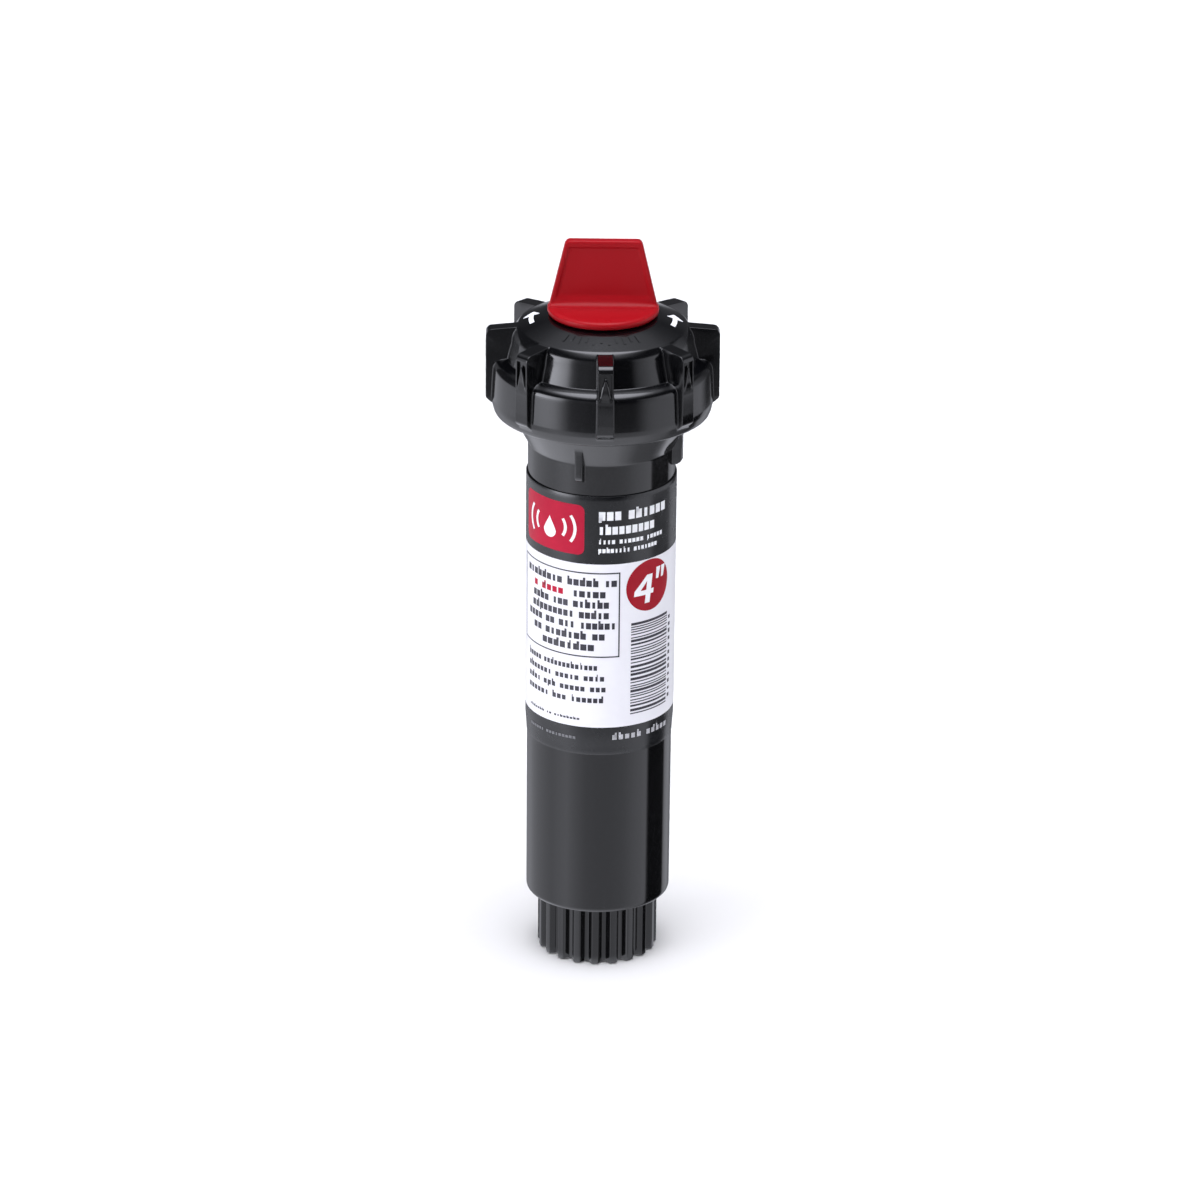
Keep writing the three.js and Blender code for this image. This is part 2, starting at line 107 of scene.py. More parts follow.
class Build:
    """Collects islands of one mesh."""

    def __init__(self):
        self.v, self.f = [], []

    def grid(self, rows, close_rows=True, close_cols=True):
        """rows[j][i] are points; quads between them."""
        base, n = len(self.v), len(rows[0])
        for row in rows:
            self.v.extend(row)
        jm = len(rows) if close_rows else len(rows) - 1
        im = n if close_cols else n - 1
        for j in range(jm):
            for i in range(im):
                a, b = base + j * n, base + ((j + 1) % len(rows)) * n
                i2 = (i + 1) % n
                self.f.append((a + i, a + i2, b + i2, b + i))
        return self

    def turned(self, profile, seg=128, centre=(0, 0)):
        rows = []
        for r, z in profile:
            rows.append([(centre[0] + r * math.sin(a), centre[1] - r * math.cos(a), z) for a in (TAU * i / seg for i in range(seg))])
        return self.grid(rows)

    def capped(self, rows):
        """A tube of closed rings, its two ends filled."""
        base, n = len(self.v), len(rows[0])
        self.grid(rows, close_rows=False)
        self.f.append(tuple(base + i for i in range(n)))
        e = base + (len(rows) - 1) * n
        self.f.append(tuple(e + i for i in reversed(range(n))))
        return self

    def helix(self, section, r_wall, z, az, turns, pitch, per_turn=72, runout=0.12):
        """A thread's ridge: a closed (r, dz) section swept round, its ends run out into the wall."""
        steps = round(turns * per_turn)
        rows = []
        for s in range(steps + 1):
            t = s / steps
            share = min(1, 0.25 + 0.75 * min(t * turns, (1 - t) * turns) / runout)
            a = math.radians(az) + t * turns * TAU
            row = []
            for r, dz in section:
                q = r_wall + (r - r_wall) * share
                row.append((q * math.sin(a), -q * math.cos(a), z + dz + t * turns * pitch))
            rows.append(row)
        return self.capped(rows)

    def brick(self, x0, x1, y0, y1, z0, z1, az, bevel=0.12):
        """A block with chamfered edges, +X outwards, moved to az."""
        loop = []
        b = bevel
        for x, y in ((x0 + b, y0), (x1 - b, y0), (x1, y0 + b), (x1, y1 - b), (x1 - b, y1), (x0 + b, y1), (x0, y1 - b), (x0, y0 + b)):
            loop.append((x, y))
        rows = []
        cx, cy = (x0 + x1) / 2, (y0 + y1) / 2
        for z, inset in ((z0, b), (z0 + b, 0), (z1 - b, 0), (z1, b)):
            row = []
            for x, y in loop:
                x2 = x + (cx - x) * inset / (x1 - x0) * 2
                y2 = y + (cy - y) * inset / (y1 - y0) * 2
                row.append(radial(x2, y2, z, az))
            rows.append(row)
        return self.capped(rows)


def radial(rho, x, z, az):
    """The point at rho along az's direction and x across it (to the viewer's right from outside)."""
    a = math.radians(az)
    s, c = math.sin(a), math.cos(a)
    return (rho * s + x * c, -rho * c + x * s, z)


def smooth(t):
    t = max(0.0, min(1.0, t))
    return t * t * (3 - 2 * t)


# ------------------------------------------------------------------ materials
def nodes_of(name):
    m = bpy.data.materials.new(name)
    m.use_nodes = True
    nt = m.node_tree
    nt.nodes.clear()
    out = nt.nodes.new("ShaderNodeOutputMaterial")
    p = nt.nodes.new("ShaderNodeBsdfPrincipled")
    nt.links.new(p.outputs[0], out.inputs[0])
    return m, nt, p


def noise(nt, coord, scale, detail=3.0, rough=0.5, stretch=(1, 1, 1)):
    mp = nt.nodes.new("ShaderNodeMapping")
    mp.inputs["Scale"].default_value = stretch
    nt.links.new(coord, mp.inputs[0])
    n = nt.nodes.new("ShaderNodeTexNoise")
    n.inputs["Scale"].default_value = scale
    n.inputs["Detail"].default_value = detail
    n.inputs["Roughness"].default_value = rough
    nt.links.new(mp.outputs[0], n.inputs["Vector"])
    return n.outputs["Fac"]


def span(nt, value, lo, hi, a=0.3, b=0.7):
    r = nt.nodes.new("ShaderNodeMapRange")
    r.inputs["From Min"].default_value, r.inputs["From Max"].default_value = a, b
    r.inputs["To Min"].default_value, r.inputs["To Max"].default_value = lo, hi
    nt.links.new(value, r.inputs["Value"])
    return r.outputs["Result"]


def mixed(nt, fac, a, b):
    m = nt.nodes.new("ShaderNodeMix")
    m.data_type = "RGBA"
    m.inputs["A"].default_value, m.inputs["B"].default_value = (*a, 1), (*b, 1)
    nt.links.new(fac, m.inputs["Factor"])
    return m.outputs["Result"]


def moulded(name, dark, light, rough=(0.3, 0.42), grain=1400, grain_h=0.006, flow=(1, 1, 0.25), ior=1.5, spec=0.5, coat=0.0):
    """Injection-moulded plastic: mottled colour, uneven gloss, a fine orange-peel grain and faint flow streaks."""
    m, nt, p = nodes_of(name)
    co = nt.nodes.new("ShaderNodeTexCoord").outputs["Object"]
    big = noise(nt, co, 55, 4, 0.55, flow)
    fine = noise(nt, co, grain, 3, 0.6)
    peel = noise(nt, co, 320, 2, 0.5)
    nt.links.new(mixed(nt, span(nt, big, 0, 1), dark, light), p.inputs["Base Color"])
    r = nt.nodes.new("ShaderNodeMath")
    r.operation = "ADD"
    nt.links.new(span(nt, big, rough[0], rough[1]), r.inputs[0])
    nt.links.new(span(nt, fine, -0.025, 0.025), r.inputs[1])
    nt.links.new(r.outputs[0], p.inputs["Roughness"])
    b1 = nt.nodes.new("ShaderNodeBump")
    b1.inputs["Strength"].default_value = 0.3
    b1.inputs["Distance"].default_value = grain_h * MM
    nt.links.new(fine, b1.inputs["Height"])
    b2 = nt.nodes.new("ShaderNodeBump")
    b2.inputs["Strength"].default_value = 0.5
    b2.inputs["Distance"].default_value = 0.004 * MM
    nt.links.new(peel, b2.inputs["Height"])
    nt.links.new(b1.outputs[0], b2.inputs["Normal"])
    nt.links.new(b2.outputs[0], p.inputs["Normal"])
    p.inputs["IOR"].default_value = ior
    p.inputs["Specular IOR Level"].default_value = spec
    p.inputs["Coat Weight"].default_value = coat
    p.inputs["Coat Roughness"].default_value = 0.15
    return m


def printed(name, colour, rough=0.36, vary=0.04, spec=0.5):
    """Ink or film of the label: slight mottle and a satin face."""
    m, nt, p = nodes_of(name)
    co = nt.nodes.new("ShaderNodeTexCoord").outputs["Object"]
    n = noise(nt, co, 420, 3, 0.6)
    lo = tuple(max(0, c * (1 - vary)) for c in colour)
    hi = tuple(min(1, c * (1 + vary)) for c in colour)
    nt.links.new(mixed(nt, span(nt, n, 0, 1), lo, hi), p.inputs["Base Color"])
    nt.links.new(span(nt, n, rough - 0.04, rough + 0.05), p.inputs["Roughness"])
    p.inputs["Specular IOR Level"].default_value = spec
    b = nt.nodes.new("ShaderNodeBump")
    b.inputs["Strength"].default_value = 0.25
    b.inputs["Distance"].default_value = 0.004 * MM
    nt.links.new(noise(nt, co, 900, 2), b.inputs["Height"])
    nt.links.new(b.outputs[0], p.inputs["Normal"])
    return m


def steel(name):
    m, nt, p = nodes_of(name)
    co = nt.nodes.new("ShaderNodeTexCoord").outputs["Object"]
    n = noise(nt, co, 900, 4, 0.6, (1, 1, 4))
    nt.links.new(mixed(nt, span(nt, n, 0, 1), (0.5, 0.51, 0.52), (0.66, 0.67, 0.68)), p.inputs["Base Color"])
    nt.links.new(span(nt, n, 0.2, 0.34), p.inputs["Roughness"])
    p.inputs["Metallic"].default_value = 1
    b = nt.nodes.new("ShaderNodeBump")
    b.inputs["Strength"].default_value = 0.3
    b.inputs["Distance"].default_value = 0.004 * MM
    nt.links.new(n, b.inputs["Height"])
    nt.links.new(b.outputs[0], p.inputs["Normal"])
    return m


M_CASE = moulded("case_plastic", (0.0011, 0.00115, 0.0014), (0.0022, 0.0023, 0.0028), (0.08, 0.12), grain_h=0.0014)
M_CAP = moulded("cap_plastic", (0.001, 0.00105, 0.0014), (0.0022, 0.0023, 0.0029), (0.11, 0.15), grain_h=0.0018)
M_RISER = moulded("riser_plastic", (0.003, 0.003, 0.0035), (0.005, 0.005, 0.006), (0.14, 0.2), grain_h=0.002)
M_INNER = moulded("inner_plastic", (0.03, 0.031, 0.034), (0.045, 0.046, 0.05), (0.4, 0.5))
M_VALVE = moulded("valve_plastic", (0.42, 0.4, 0.34), (0.5, 0.48, 0.42), (0.35, 0.45))
M_RUBBER = moulded("seal_rubber", (0.008, 0.008, 0.008), (0.013, 0.013, 0.013), (0.55, 0.7), grain=2200, grain_h=0.01)
M_RED = moulded("plug_plastic", (0.265, 0.0042, 0.0075), (0.29, 0.0052, 0.0092), (0.27, 0.33), ior=1.46, grain_h=0.0006, spec=0.12)
M_WIRE = steel("spring_steel")
M_WHITE = printed("label_white", (0.755, 0.75, 0.785), 0.34, 0.012, 0.3)
M_BLACK = printed("label_black", (0.005, 0.0055, 0.0065), 0.24, 0.15)
M_INK = printed("label_ink", (0.02, 0.018, 0.028), 0.4, 0.1)
M_INK_RED = printed("label_red", (0.4, 0.011, 0.036), 0.36, 0.05, 0.1)
M_INK_DARK_RED = printed("label_deep_red", (0.31, 0.007, 0.017), 0.36, 0.05, 0.12)
M_PAINT = printed("mark_white", (0.8, 0.81, 0.83), 0.4, 0.03)
M_GREY = printed("label_grey", (0.13, 0.13, 0.14), 0.4, 0.05)
M_SILVER = printed("label_silver", (0.42, 0.42, 0.44), 0.4, 0.05)


# ------------------------------------------------------------------ case
def barrel_r(z):
    return 17.4 + 0.2 * (z - 15.5) / (130.9 - 15.5)


RIBS = 20
GUSSET_AZ = [-16, 74, 164]
RIB_AZ = -1.8


def rib_weight(az):
    d = abs((az - RIB_AZ + 9) % 18 - 9)
    pts = [(0, 1), (2.4, 1), (2.9, 0.99), (3.3, 0.95), (3.6, 0.88), (6.4, 0.13), (6.75, 0.05), (7.2, 0.012), (7.8, 0), (9.1, 0)]
    for (a, wa), (b, wb) in zip(pts, pts[1:]):
        if d <= b:
            return wa + (wb - wa) * (d - a) / (b - a)
    return 0.0


def gusset_weight(x):
    """x is the distance across from the rib's middle, mm."""
    pts = [(0, 1), (0.5, 1), (0.7, 0.985), (0.84, 0.92), (0.9, 0.75), (0.94, 0.3), (1.0, 0.1), (1.15, 0.03), (1.5, 0), (9, 0)]
    x = abs(x)
    for (a, wa), (b, wb) in zip(pts, pts[1:]):
        if x <= b:
            return wa + (wb - wa) * (x - a) / (b - a)
    return 0.0


def case_columns():
    cols = set()
    for i in range(RIBS):
        for d in (0, 1.3, 2.4, 2.9, 3.3, 3.6, 5.0, 6.4, 6.75, 7.2, 7.8):
            cols.add(round((RIB_AZ + i * 18 + d) % 360, 3))
            cols.add(round((RIB_AZ + i * 18 - d) % 360, 3))
        cols.add(round(RIB_AZ + i * 18 + 9.0, 3))
    for g in GUSSET_AZ:
        for x in (0, 0.25, 0.5, 0.7, 0.84, 0.9, 0.94, 1.0, 1.15, 1.5):
            for s in (1, -1):
                cols.add(round((g + s * math.degrees(x / 18.2)) % 360, 3))
    return sorted(cols)


def case_mesh():
    cols = case_columns()
    # outer face from the inlet's mouth up to the lip of the flare, then the thread wall, mouth and bore; kind i is the ribbed inlet
    rows = [("s", 11.3, 0.0)]
    rows += [("i", -0.22, 0.0), ("i", -0.06, 0.05), ("i", 0.0, 0.2), ("i", 0.0, 2.5), ("i", 0.0, 7.5), ("i", 0.0, 12.5), ("i", 0.0, 14.25), ("i", 0.04, 14.6), ("i", 0.16, 14.8), ("i", 0.4, 14.88)]
    rows += [("s", 15.6, 14.9), ("s", 16.4, 14.92), ("s", 16.85, 15.0), ("s", 17.12, 15.15), ("s", 17.3, 15.4), ("s", 17.38, 15.75), ("s", 17.4, 16.2), ("s", 17.405, 18)]
    for z in (24, 32, 40, 48, 56, 64, 72, 80, 88, 96, 104, 112, 118, 121.5, 123.9):
        rows.append(("s", barrel_r(z), z))
    for z in (125.2, 126.6, 127.1, 127.3, 127.42, 127.52, 127.65, 127.8, 128.0, 128.3, 128.7, 129.2, 129.8, 130.5, 131.0, 131.2):
        rows.append(("g", barrel_r(z), z))
    for r, z in ((17.62, 131.35), (17.67, 131.5), (17.75, 131.68), (18.25, 132.63), (18.75, 133.58), (19.25, 134.53), (19.75, 135.48), (20.0, 135.96), (20.25, 136.44), (20.75, 137.4)):
        rows.append(("g", r, z))
    rows += [("s", 21.5, 138.84), ("s", 22.0, 139.8), ("s", 22.15, 140.15), ("s", 22.2, 140.5), ("s", 22.2, 147.7), ("s", 22.1, 148.15), ("s", 21.8, 148.38), ("s", 21.4, 148.4)]
    rows += [("s", 20.0, 148.4), ("s", 19.7, 148.3), ("s", 19.6, 148.05), ("s", 19.6, 139.6), ("s", 19.45, 138.7), ("s", 16.0, 131.2), ("s", 15.5, 130.1), ("s", 15.4, 129.2)]
    for z in (110, 90, 70, 50, 30):
        rows.append(("s", 15.4, z))
    rows += [("s", 15.4, 17.9), ("s", 15.2, 17.45), ("s", 14.8, 17.3), ("s", 9.6, 17.3), ("s", 9.3, 17.15), ("s", 9.2, 16.9), ("s", 9.2, 14.5), ("s", 9.35, 14.0), ("s", 10.3, 13.5), ("s", 10.45, 13.2), ("s", 10.72, 1.0), ("s", 10.8, 0.7), ("s", 11.2, 0.05)]
    grid = []
    for kind, r, z in rows:
        row = []
        for az in cols:
            q = r
            if kind == "i":
                w = rib_weight(az)
                q = 13.0 + 1.5 * w + r * (1 if r > 0 else 0.5 + 0.5 * w)
                if r > 0:
                    q = max(13.0 + 1.5 * w, 13.0 + 1.5 * w + r)
            elif kind == "g":
                for g in GUSSET_AZ:
                    d = (az - g + 180) % 360 - 180
                    if abs(d) < 7:
                        w = gusset_weight(math.radians(d) * 18.2)
                        if w > 0:
                            # the rib's own outline: it starts square at its foot and runs up into the flare
                            t = max(0.0, min(1.0, (z - 127.3) / 1.7))
                            top = 17.45 if t <= 0 else 17.6 + 2.3 * math.sqrt(1 - (1 - t) ** 2)
                            q = max(q, q + w * (top - q)) if top > q else q
            a = math.radians(az)
            row.append((q * math.sin(a), -q * math.cos(a), z))
        grid.append(row)
    b = Build().grid(grid)
    for i in range(6):
        b.brick(14.75, 15.9, -0.8, 0.8, 17.0, 127.6, 30 + i * 60)
    ext = [(21.9, -0.95), (22.15, -0.85), (22.3, -0.72), (22.95, -0.5), (23.12, -0.36), (23.15, -0.2), (23.15, 0.2), (23.12, 0.36), (22.95, 0.5), (22.3, 0.72), (22.15, 0.85), (21.9, 0.95)]
    b.helix(ext, 22.1, 140.9, 0, 1.75, 3.0)
    pipe = [(11.1, -0.7), (10.75, -0.62), (10.6, -0.56), (10.0, -0.24), (9.88, -0.14), (9.85, 0), (9.88, 0.14), (10.0, 0.24), (10.6, 0.56), (10.75, 0.62), (11.1, 0.7)]
    b.helix(pipe, 10.9, 2.2, 0, 5, 25.4 / 14, 56)
    return b


b = case_mesh()
case = piece("case_shell", b.v, b.f, M_CASE, "case", sharp=34, replaces=["case_body"])


# ------------------------------------------------------------------ cap
LUGS, LUG_AZ = 8, 1.6


def lug_half(z):
    """Half the width of a lug at height z."""
    return 1.77 + 0.22 * max(0, min(1, (158 - z) / 16))


def arch_half(z):
    """Half the width of the pad on a lug's face: a pointed arch that widens down to the frame round it."""
    full = frame_half(z)
    t = (z - 150.2) / (157.45 - 150.2)
    if t <= 0:
        return full
    return full * (1 - min(1, t) ** 1.8)


def frame_half(z):
    """Half the distance between the inner sides of the frame round the pad."""
    return lug_half(z) - 0.42


def cap_rows():
    """(cap r, cap z, lug r, lug z, pad) where pad is how far the pad stands out at that row."""
    rows = []
    plain = lambda r, z: rows.append((r, z, r, z, 0.0))
    for r, z in ((10.9, 162.1), (10.92, 162.55), (11.05, 162.85), (11.35, 163.03), (11.9, 163.1), (12.7, 163.12), (13.5, 163.05), (14.3, 162.86), (15.3, 162.5), (16.5, 162.05), (17.7, 161.58), (18.6, 161.22), (19.12, 161.015), (19.46, 160.88), (19.8, 160.742), (19.98, 160.63), (20.15, 160.45)):
        plain(r, z)
    keys = [
        (20.15, 160.45, 20.15, 160.45, 0),
        (20.36, 160.18, 20.55, 160.39, 0),
        (20.57, 159.89, 21.2, 160.33, 0),
        (20.79, 159.57, 22.0, 160.26, 0),
        (21.0, 159.22, 23.0, 160.17, 0),
        (21.17, 158.85, 24.0, 160.08, 0),
        (21.31, 158.4, 25.0, 159.98, 0),
        (21.45, 157.85, 25.8, 159.9, 0),
        (21.6, 156.4, 26.4, 159.84, 0),
        (21.9, 155.4, 26.75, 159.75, 0),
        (22.0, 155.0, 27.1, 159.5, 0),
        (22.15, 154.4, 27.42, 159.1, 0),
        (22.22, 154.1, 27.6, 158.7, 0),
        (22.25, 154.0, 27.65, 158.45, 0),
        (22.28, 153.9, 27.65, 158.3, 0),
        (22.3, 153.82, 27.65, 158.2, 1),
        (22.4, 153.4, 27.65, 157.45, 1),
        (22.5, 152.95, 27.65, 156.7, 1),
        (22.57, 152.64, 27.65, 156.0, 1),
        (22.61, 152.52, 27.65, 155.2, 1),
        (22.7, 152.46, 27.65, 154.2, 1),
        (23.63, 152.34, 27.66, 153.4, 1),
        (24.07, 152.26, 27.66, 152.9, 1),
        (24.5, 152.1, 27.66, 152.4, 1),
        (24.9, 151.88, 27.66, 151.95, 1),
        (25.24, 151.6, 27.67, 151.6, 1),
        (25.53, 151.24, 27.67, 151.2, 1),
        (25.76, 150.85, 27.67, 150.8, 0.9),
        (25.91, 150.43, 27.67, 150.4, 0.6),
        (26.0, 149.75, 27.68, 149.75, 0),
        (26.15, 147.5, 27.68, 147.5, 0),
        (26.36, 143.2, 27.68, 143.2, 0),
        (26.36, 142.75, 27.6, 142.78, 0),
        (26.34, 142.5, 27.4, 142.52, 0),
        (26.3, 142.1, 26.95, 142.12, 0),
        (26.27, 141.85, 26.7, 141.88, 0),
        (26.23, 141.65, 26.5, 141.68, 0),
        (26.18, 141.45, 26.18, 141.45, 0),
    ]
    steps = [1, 1, 1, 1, 1, 1, 1, 1, 1, 1, 1, 1, 1, 1, 1, 4, 4, 3, 4, 5, 4, 2, 2, 2, 2, 2, 2, 2, 3, 1, 2, 1, 1, 1, 1, 1, 1]
    for k, n in enumerate(steps):
        a, c = keys[k], keys[k + 1]
        for s in range(n):
            rows.append(tuple(p + (q - p) * s / n for p, q in zip(a, c)))
    rows.append(keys[-1])
    for r, z in ((25.98, 140.6), (25.8, 140.0), (25.68, 139.72), (25.5, 139.52), (25.25, 139.45), (24.5, 139.45), (24.15, 139.58), (23.95, 139.8), (23.75, 140.05), (23.65, 140.3), (23.65, 149.6), (23.5, 150.05), (23.1, 150.2), (18.9, 150.2), (18.65, 150.35), (18.6, 150.7), (18.6, 157.4), (18.4, 158.0), (18.0, 158.3), (12.6, 160.85), (11.3, 161.15), (10.98, 161.35)):
        plain(r, z)
    return rows


def cap_mesh():
    rows = cap_rows()
    gap_cols = 13
    grid = []
    for rc, zc, rl, zl, pad in rows:
        dist = math.hypot(rl - rc, zl - zc)
        on_lug = dist > 0.02
        hb = lug_half(zl)
        hw, hf = arch_half(zl), frame_half(zl)
        # half holds (x, weight towards the lug's surface, how far the face stands in or out)
        deep = 0.62 * pad * smooth((hf - hw - 0.04) / 0.22)
        if pad > 0 and deep > 0:
            up = deep * (1 - smooth(hw / 0.22)) - 0.07 * deep / 0.62 * smooth(hw / 0.22)
            w_ = max(hw, 0.01)
            e = min(0.34, w_ * 0.5)
            low_ = min(0.24, deep * 0.45) * min(1, w_ / 0.3)
            half = [(0.0, 1, -up), ((w_ - e) * 0.6, 1, -up), (w_ - e, 1, -up), (w_ - e * 0.55, 1, -up - low_ * 0.4), (w_, 1, -up - low_), (w_ + 0.04, 1, -deep)]
            half += [(max(w_ + 0.05, hf - 0.05), 1, -deep), (max(w_ + 0.07, hf), 1, -0.1 * min(1, deep)), (max(w_ + 0.09, hf + 0.04), 1, 0)]
        else:
            half = [(hf * k / 8, 1, 0) for k in range(9)]
        x0 = half[-1][0]
        half += [(x0 + (hb - 0.16 - x0) * 0.5, 1, 0) if x0 < hb - 0.18 else (x0 + 0.005, 1, 0)]
        edge = [(hb - 0.13, 0.0), (hb - 0.05, 0.022), (hb - 0.015, 0.065), (hb, 0.13)]
        for x, off in edge:
            w = 1 - min(off / dist, 0.5) if on_lug else 1
            half.append((max(x, half[-1][0] + 0.002), w, 0))
        fillet = [(hb + 0.02, 0.22), (hb + 0.05, 0.12), (hb + 0.11, 0.05), (hb + 0.2, 0.012), (hb + 0.5, 0.0)]
        for x, off in fillet:
            half.append((x, min(off / dist, 0.5 if off else 0) if on_lug else 1, 0))
        row = []
        for k in range(LUGS):
            az = LUG_AZ + 45 * k
            pts = []
            for x, w, ps in half:
                r, z = rc + (rl - rc) * w, zc + (zl - zc) * w
                r += ps
                # away from the lug's flat face a point lies on the turned surface
                flat = w if on_lug else 0.0
                rho = r * flat + math.sqrt(max(r * r - x * x, 0)) * (1 - flat)
                pts.append((x, rho, z))
            for x, rho, z in reversed(pts[1:]):
                row.append(radial(rho, -x, z, az))
            for x, rho, z in pts:
                row.append(radial(rho, x, z, az))
            x_end = half[-1][0]
            a0 = math.degrees(math.asin(x_end / rc))
            for g in range(1, gap_cols):
                t = g / gap_cols
                a = math.radians(az + a0 + (45 - 2 * a0) * t)
                row.append((rc * math.sin(a), -rc * math.cos(a), zc))
        grid.append(row)
    b = Build().grid(grid)
    thread = [(23.95, -0.95), (23.7, -0.85), (23.55, -0.72), (22.9, -0.5), (22.73, -0.36), (22.7, -0.2), (22.7, 0.2), (22.73, 0.36), (22.9, 0.5), (23.55, 0.72), (23.7, 0.85), (23.95, 0.95)]
    b.helix(thread, 23.75, 142.4, 0, 1.75, 3.0)
    return b


b = cap_mesh()
cap = piece("cap_shell", b.v, b.f, M_CAP, "cap", sharp=46, replaces=["screw_cap"])

# ------------------------------------------------------------------ flush plug
PLUG_T = 2.5


def plug_mesh():
    b = Build()
    prof = [(0, 162.0), (5.5, 162.0), (5.75, 161.8), (5.8, 161.5), (5.8, 152.3), (5.95, 152.05), (6.2, 152.0), (6.6, 152.0), (6.85, 152.08), (7.25, 152.55), (7.3, 152.8), (7.3, 163.3), (7.45, 163.52), (7.8, 163.6),
            (12.45, 163.6), (12.82, 163.68), (13.06, 163.88), (13.18, 164.2), (13.2, 164.55), (13.16, 164.88), (13.02, 165.16), (12.76, 165.36), (12.4, 165.46), (11.8, 165.53), (10.6, 165.58), (9, 165.61), (7, 165.63), (5, 165.645), (3, 165.655), (0, 165.66)]
    b.turned(prof, 128)
    ridge = [(6.9, -0.55), (7.25, -0.48), (7.4, -0.42), (8.0, -0.24), (8.12, -0.16), (8.15, 0), (8.12, 0.16), (8.0, 0.24), (7.4, 0.42), (7.25, 0.48), (6.9, 0.55)]
    b.helix(ridge, 7.25, 153.2, 180, 3.5, 2.0, 48)
    # the blade: rings round it from the disc up; recessed faces inside a raised border
    z0, z1 = 165.6, 181.65
    zs = [165.25, 165.6, 165.62, 165.66, 165.73, 165.83, 165.97, 166.18, 166.4, 166.7, 167.1, 167.5, 167.9, 168.3, 168.7, 169.2, 170.0, 171.2, 172.6, 174.0, 175.4, 176.8, 178.0, 179.0, 179.6, 179.9, 180.1, 180.25, 180.4, 180.7, 181.0, 181.25, 181.45, 181.58, 181.65]
    rings = []

    def half_width(z):
        t = (z - 166.4) / (181.7 - 166.4)
        h = 12.55 + (8.95 - 12.55) * t
        # the top corners are rounded
        if z > 180.5:
            u = (z - 180.5) / 1.15
            h -= 0.95 * (1 - math.sqrt(max(0, 1 - u * u)))
        return h

    for z in zs:
        h = half_width(z)
        t = PLUG_T / 2
        if z > 181.1:
            u = (z - 181.1) / 0.56
            t -= 0.42 * (1 - math.sqrt(max(0, 1 - u * u)))
        def flare(x):
            """The sweep into the disc: wide in the middle, tight at the corners."""
            rad = 0.7 + 1.6 * (1 - min(1, abs(x) / h) ** 4)
            u = (z - 165.6) / rad
            return rad * (1 - math.sqrt(max(0, 1 - (1 - max(0, u)) ** 2))) if u < 1 else 0.0

        # depth of the recess: full between the borders, running out above the disc
        lower = smooth((z - 167.2) / 1.1)
        upper = 1 - smooth((z - 179.75) / 0.55)
        deep = 0.3 * lower * upper
        e = h - 1.1
        xs = [0, 0.2 * e, 0.4 * e, 0.6 * e, 0.78 * e, 0.9 * e, e - 0.3, e - 0.12, e + 0.04, e + 0.2, h - 0.5, h - 0.3]
        front = []
        for x in xs:
            d = deep * (1 - smooth((x - (e - 0.3)) / 0.5))
            front.append((x, t + flare(x) - d))
        fl = flare(h)
        corner = [(h - 0.13, t + fl - 0.06), (h - 0.03, t + fl - 0.24), (h, t + fl - 0.5), (h + 0.0, 0.0)]
        quarter = front + corner
        ring = [(x, -y) for x, y in quarter]  # front right
        ring += [(x, y) for x, y in reversed(quarter[:-1])]
        ring += [(-x, y) for x, y in quarter[1:]]
        ring += [(-x, -y) for x, y in reversed(quarter[1:-1])]
        rings.append([(x, y, z) for x, y in ring])
    # the top edge closes with one flat face across the last ring; the rings just below it round the edge over
    base = len(b.v)
    n = len(rings[0])
    b.grid(rings, close_rows=False)
    last = base + (len(rings) - 1) * n
    k = (n + 2) // 4  # index of the right end
    top = [last + i for i in range(n)]
    b.f.append(tuple(top))
    b.f.append(tuple(reversed([base + i for i in range(n)])))
    return b


b = plug_mesh()
plug = piece("plug_shell", b.v, b.f, M_RED, "plug", sharp=50, replaces=["flush_plug"])


# ------------------------------------------------------------------ riser, seals, spring
def turned_piece(name, profile, mat, body, node, seg=96, n=3, extra=None):
    b = Build().turned(rounded(profile, n), seg)
    if extra:
        extra(b)
    return piece(name, b.v, b.f, mat, body, sharp=40, replaces=[node])


def riser_thread(b):
    ridge = [(8.9, -0.55), (8.6, -0.48), (8.45, -0.42), (8.1, -0.24), (7.98, -0.16), (7.95, 0), (7.98, 0.16), (8.1, 0.24), (8.45, 0.42), (8.6, 0.48), (8.9, 0.55)]
    b.helix(ridge, 8.6, 152.2, 180, 3.5, 2.0, 48)


turned_piece("riser_shell", [(7.9, 20.2), (9.3, 20.2), (9.6, 20.5, 0.1), (9.6, 161.9), (9.6, 162.7, 0.45), (8.55, 162.7, 0.2), (8.55, 150.8), (7.9, 150.0)], M_RISER, "riser", "riser_tube", 112, 5, riser_thread)
turned_piece("wiper_seal_ring", [(17.5, 151.0, 0.2), (18.3, 151.0, 0.2), (18.3, 157.1, 0.4), (17.9, 157.8, 0.3), (12.0, 160.5, 1), (10.5, 160.8, 0.3), (10.5, 162.4, 0.12), (10.0, 162.6, 0.1), (10.15, 159.8, 0.2), (9.9, 159.2, 0.2), (9.9, 158.5, 0.2), (16.4, 156.4, 0.6), (17.5, 155.4, 0.6)], M_RUBBER, "seal_stack", "wiper_seal")
turned_piece("cap_gasket_ring", [(20.0, 148.7, 0.2), (22.0, 148.7, 0.2), (22.0, 149.9, 0.2), (20.0, 149.9, 0.2)], M_RUBBER, "seal_stack", "cap_gasket")
